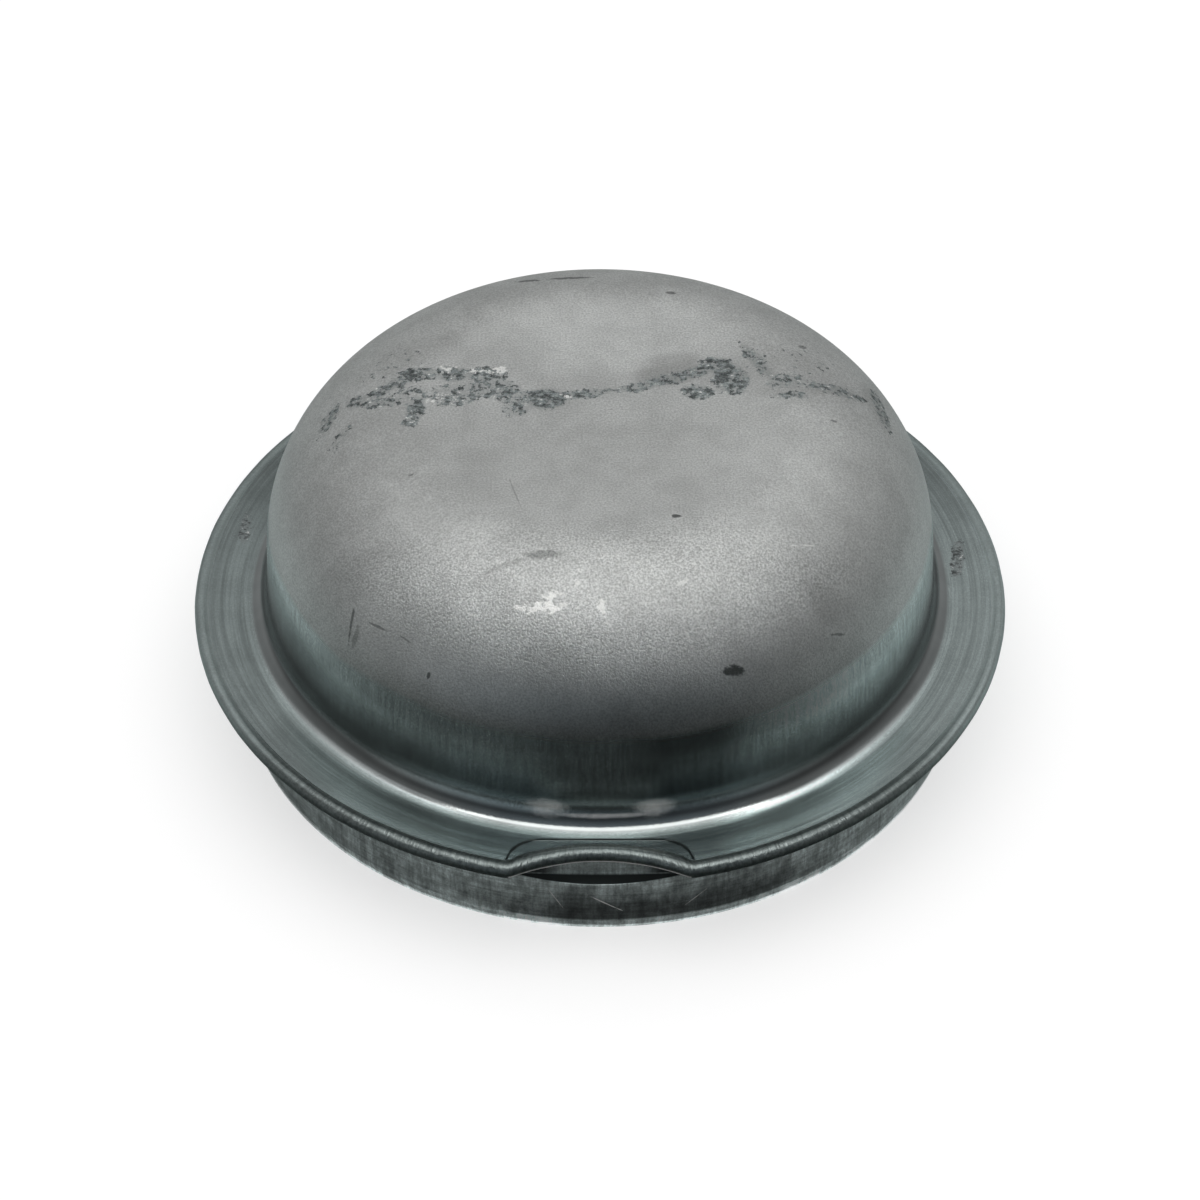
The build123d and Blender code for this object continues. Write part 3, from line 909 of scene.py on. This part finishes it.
def pressed_steel(finish):
    """Steel sheet as pressed: zones have a colour and a roughness, tones add grain, stains and painted light
    and shade, and wear lies over it.
    """
    r = Recipe("pressed_steel")
    at = steel_maps(r)
    torn, smear, bright, dirt_and_shade = steel_wear(r, at)
    base = r.tint(at.dome, finish.ironed, finish.dull)
    roughness = r.ramp(at.z, *DOME_RISE, finish.drawn_roughness, finish.dull_roughness)
    roughness = r.blend(at.dome, finish.ironed_roughness, roughness)
    for zone, name in ((at.root, "polished"), (at.flange, "flange"), (at.skirt, "skirt")):
        base = r.tint(zone, base, getattr(finish, name))
        roughness = r.blend(zone, roughness, getattr(finish, f"{name}_roughness"))
    # Painted shade: the hem is darker in front, and takes the flange's colour at the sides
    base = r.tint(at.hem, base, r.tint(at.fore, finish.flange, finish.hem))
    roughness = r.blend(at.hem, roughness, finish.hem_roughness)
    roughness = r.blend(at.shelf, roughness, 0.6)

    hem_tone = r.within(at.ribbed, r.vary(at.ribs, 0.8, 1.16))
    tones = (tone(r, at) for tone in (dome_tone, flange_tone, skirt_tone, root_tone, wall_tone))
    base = r.tinted(base, r.times(hem_tone, *tones))
    base = r.tint(smear, base, finish.galled)
    flakes = r.tinted(finish.flake, r.ramp(at.ragged, 0.38, 0.62, 1.9, 0.5))
    base = r.tint(torn, base, flakes)
    # Worn marks and painted highlights take this bright colour
    base = r.tint(bright, base, finish.fleck_and_gleam)
    # Painted shade in the hollow and the pocket, with the dark line round the press mark and the dark marks
    # on the crown
    base = r.tint(dirt_and_shade, base, finish.grime_and_shade)

    metal = r.blend(r.most(at.skirt, bright), 1.0, 0.72)
    relief = steel_relief(r, at)
    steel = r.add("BsdfPrincipled", None, Roughness=roughness, Metallic=metal, Normal=relief)
    r.tree.links.new(base, steel.inputs["Base Color"])
    return r.surface(steel.outputs[0])


def tent_cloth(studio):
    """What the steel reflects: a wide soft lamp overhead in a tent that is pale behind and dark in front.

    Away from the lamp the brightness is a sum of smooth steps by the direction round the axis and the height.
    """
    r = Recipe("tent_cloth")
    x, y, z = r.parts(r.vector("NORMALIZE", r.place))
    tx, ty, _ = r.parts(r.flat_turn(x, y))
    forward = r.times(ty, -1.0)
    back = r.plus(z, studio.back_rise, studio.back_level)
    level = r.plus(back, r.ramp(forward, 0.35, -0.8), studio.front_level)
    low = r.ramp(z, 0.6, 0.25)
    both_sides = r.ramp(r.maths("ABSOLUTE", forward), 1.0, 0.5)
    left = r.ramp(r.weigh(tx, -0.8, forward, 0.6), 0.62, 0.97)
    right = r.ramp(r.weigh(tx, 0.87, forward, 0.5), 0.7, 0.98)
    for place, height, amount in (
        (r.ramp(r.off(forward, -0.45), 0.6, 0.0), r.ramp(z, 0.58, 0.75), studio.side_level),
        (both_sides, r.ramp(z, 0.5, 0.15), studio.low_level),
        (left, low, studio.left_level),
        (right, low, studio.right_level),
    ):
        level = r.plus(r.times(place, height), amount, level)

    lean_cos, lean_sin = float(np.cos(studio.lamp_lean)), float(np.sin(studio.lamp_lean))
    along = r.weigh(y, lean_cos, z, lean_sin)
    above = r.weigh(z, lean_cos, y, -lean_sin)
    to_right = r.maths("SUBTRACT", x, studio.lamp_side)

    def angle_from_lamp(width):
        """Angle from the lamp's middle, for a lamp that is wider than deep."""
        away = r.vector("LENGTH", r.join(r.maths("DIVIDE", to_right, width), along, 0.0))
        return r.maths("ARCTAN2", away, above)

    spread = studio.lamp_spread
    glow = r.ramp(angle_from_lamp(studio.glow_width), studio.glow_spread, spread, 0.0, studio.glow_level)
    level = r.maths("ADD", level, glow)
    lamp = r.ramp(angle_from_lamp(studio.lamp_width), spread + 0.03, spread - 0.03)
    front = r.ramp(forward, 0.4, 1.0)
    cloth = r.tint(front, r.tinted(CLOTH, level), r.tinted(CLOTH_FRONT, level))
    return r.light(r.tint(lamp, cloth, [studio.lamp_level * part for part in LAMP]))


def card_paper(studio):
    """Paper under the cap as the steel sees it: dark in front, palest beside and a little darker behind."""
    r = Recipe("card_paper")
    x, y, _ = r.parts(r.place)
    tx, ty, _ = r.parts(r.flat_turn(x, y))
    forward = r.times(ty, -1.0)
    level = r.times(r.ramp(forward, 0.75, -0.4, 0.03, 0.41), r.ramp(forward, -0.3, -0.9, 1.0, 0.74))
    right = r.ramp(r.weigh(tx, 0.94, forward, 0.34), 0.75, 0.99)
    left = r.ramp(r.weigh(tx, -0.8, forward, 0.6), 0.75, 0.98)
    level = r.plus(right, studio.right_level, level)
    level = r.plus(left, studio.left_floor, level)
    return r.light(r.tinted(PAPER, level))


def floor_paint():
    """Pale floor that takes the cap's shadow, lifted to white for the eye and for reflections."""
    r = Recipe("floor_paint")
    matt = r.add("BsdfDiffuse", None, Color=(0.5, 0.5, 0.5, 1.0))
    rays = r.add("LightPath").outputs
    seen = r.maths("ADD", rays["Is Camera Ray"], rays["Is Glossy Ray"])
    seen = r.maths("ADD", seen, rays["Is Transmission Ray"])
    lift = r.add("Emission", None, Color=(1.0, 1.0, 1.0, 1.0), Strength=r.times(seen, 0.52))
    both = r.add("AddShader", None, i0=matt.outputs[0], i1=lift.outputs[0])
    return r.surface(both.outputs[0])


# Operators


class GREASECAP_OT_shell(Operator):
    """Builds the pressed steel cap as one closed surface"""

    bl_idname = "grease_cap.shell"
    bl_label = "Cap"

    def execute(self, context):
        sizes = context.scene.cap_sizes
        psi = columns_round(sizes)
        radius, level, zones = cap_section(psi, sizes)
        x, y = from_front(radius, psi)
        height = sizes.height / MM
        top, bottom = (0.0, 0.0, height), (0.0, 0.0, height - sizes.sheet / MM)
        mesh = closed_shell("cap_shell", x, y, level, top, bottom)
        mesh.set_sharp_from_angle(angle=radians(35.0))
        crown = (level > sizes.seat_height / MM + WEAR_ABOVE_SEAT) * (1.0 - zones["inside"])
        zones["torn"] = spots_at(x, y, TORN) * crown
        zones["rubbed"] = spots_at(x, y, RUBBED) * crown
        zones["stains_and_painted_light"] = (spots_at(x, y, STAINED) - spots_at(x, y, PAINTED_LIGHT)) * crown
        for name, values in zones.items():
            mark_points(mesh, name, values)
        cap = placed(mesh, pressed_steel(context.scene.steel_finish))
        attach(cap, "root")
        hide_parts("grease_cap")
        return {"FINISHED"}


class GREASECAP_OT_studio(Operator):
    """Sets the floor, the tent, the lamp and the camera"""

    bl_idname = "grease_cap.studio"
    bl_label = "Studio"

    def execute(self, context):
        studio = context.scene.studio_set
        around = np.linspace(0.0, 2.0 * np.pi, num=97)
        self.floor(around)
        self.tent(studio, around)
        self.lamp(context)
        self.camera(context, studio)
        self.surroundings(context)
        return {"FINISHED"}

    def floor(self, around):
        """Round floor: rings of growing radius at height 0."""
        radius = np.array([0.0001, 0.05, 0.2, 1.0, 6.0])[:, None]
        x, y = from_front(radius, around)
        placed(grid_sheet("floor", x, y, 0.0 * x), floor_paint())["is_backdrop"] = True

    def tent(self, studio, around):
        """Half sphere round the cap, and a ring of paper on the floor. Only reflections see them."""
        rise = np.linspace(0.0, 0.5 * np.pi, num=49)[:, None]
        reach = studio.tent_radius
        x, y = from_front(reach * np.cos(rise), around)
        tent = placed(grid_sheet("tent", x, y, reach * np.sin(rise) + 0.0 * x), tent_cloth(studio))
        radius = np.array([0.0359, 0.05, 0.1, 0.25, reach])[:, None]
        x, y = from_front(radius, around)
        paper = placed(grid_sheet("paper", x, y, 0.00015 + 0.0 * x), card_paper(studio))
        for card in (tent, paper):
            for sight in ("camera", "diffuse", "shadow", "transmission", "volume_scatter"):
                setattr(card, f"visible_{sight}", False)
            card.data.materials[0].cycles.emission_sampling = "NONE"
            card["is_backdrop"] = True

    def lamp(self, context):
        """Soft square lamp overhead, a little towards the front, that gives the floor its shadow."""
        light = bpy.data.lights.new("soft_lamp", "AREA")
        light.shape = "SQUARE"
        light.size = 0.5
        light.energy = 0.35
        lamp = bpy.data.objects.new("soft_lamp", light)
        lamp.location = (0.0, -0.12, 0.5)
        lamp.rotation_euler = (radians(-13.5), 0.0, 0.0)
        lamp.visible_camera = False
        lamp.visible_glossy = False
        context.scene.collection.objects.link(lamp)

    def camera(self, context, studio):
        """Camera on the plane x = 0, at its elevation and distance from a target on the axis."""
        lens = bpy.data.cameras.new("camera")
        lens.sensor_width = 36.0
        lens.lens = studio.lens
        lens.clip_start = 0.01
        lens.clip_end = 20.0
        camera = bpy.data.objects.new("camera", lens)
        out, up = np.cos(studio.elevation), np.sin(studio.elevation)
        camera.location = (0.0, -studio.distance * out, studio.target_height + studio.distance * up)
        camera.rotation_euler = (radians(90.0) - studio.elevation, 0.0, 0.0)
        context.scene.collection.objects.link(camera)
        context.scene.camera = camera

    def surroundings(self, context):
        """White all round, and colours shown as they are."""
        world = bpy.data.worlds.new("studio_white")
        world.use_nodes = True
        backdrop = world.node_tree.nodes["Background"]
        backdrop.inputs["Color"].default_value = (1.0, 1.0, 1.0, 1.0)
        backdrop.inputs["Strength"].default_value = 1.0
        context.scene.world = world
        context.scene.view_settings.view_transform = "Standard"


class GREASECAP_PT_panel(Panel):
    """Sizes, finish and studio of the grease cap"""

    bl_idname = "GREASECAP_PT_panel"
    bl_label = "Grease Cap"
    bl_space_type = "VIEW_3D"
    bl_region_type = "UI"
    bl_category = "Grease Cap"

    def draw(self, context):
        for group in (getattr(context.scene, key) for key in GROUPS):
            column = self.layout.column()
            for key in group.__annotations__:
                column.prop(group, key)
        self.layout.operator("grease_cap.shell")
        self.layout.operator("grease_cap.studio")


GROUPS = {"cap_sizes": CapSizes, "steel_finish": SteelFinish, "studio_set": StudioSet}
CLASSES = (*GROUPS.values(), GREASECAP_OT_shell, GREASECAP_OT_studio, GREASECAP_PT_panel)


def register():
    for item in CLASSES:
        bpy.utils.register_class(item)
    for key, group in GROUPS.items():
        setattr(bpy.types.Scene, key, PointerProperty(type=group))


def unregister():
    for key in GROUPS:
        delattr(bpy.types.Scene, key)
    for item in reversed(CLASSES):
        bpy.utils.unregister_class(item)


def main():
    """Builds the cap and its studio."""
    register()
    bpy.ops.grease_cap.shell()
    bpy.ops.grease_cap.studio()


if __name__ == "__main__":
    main()
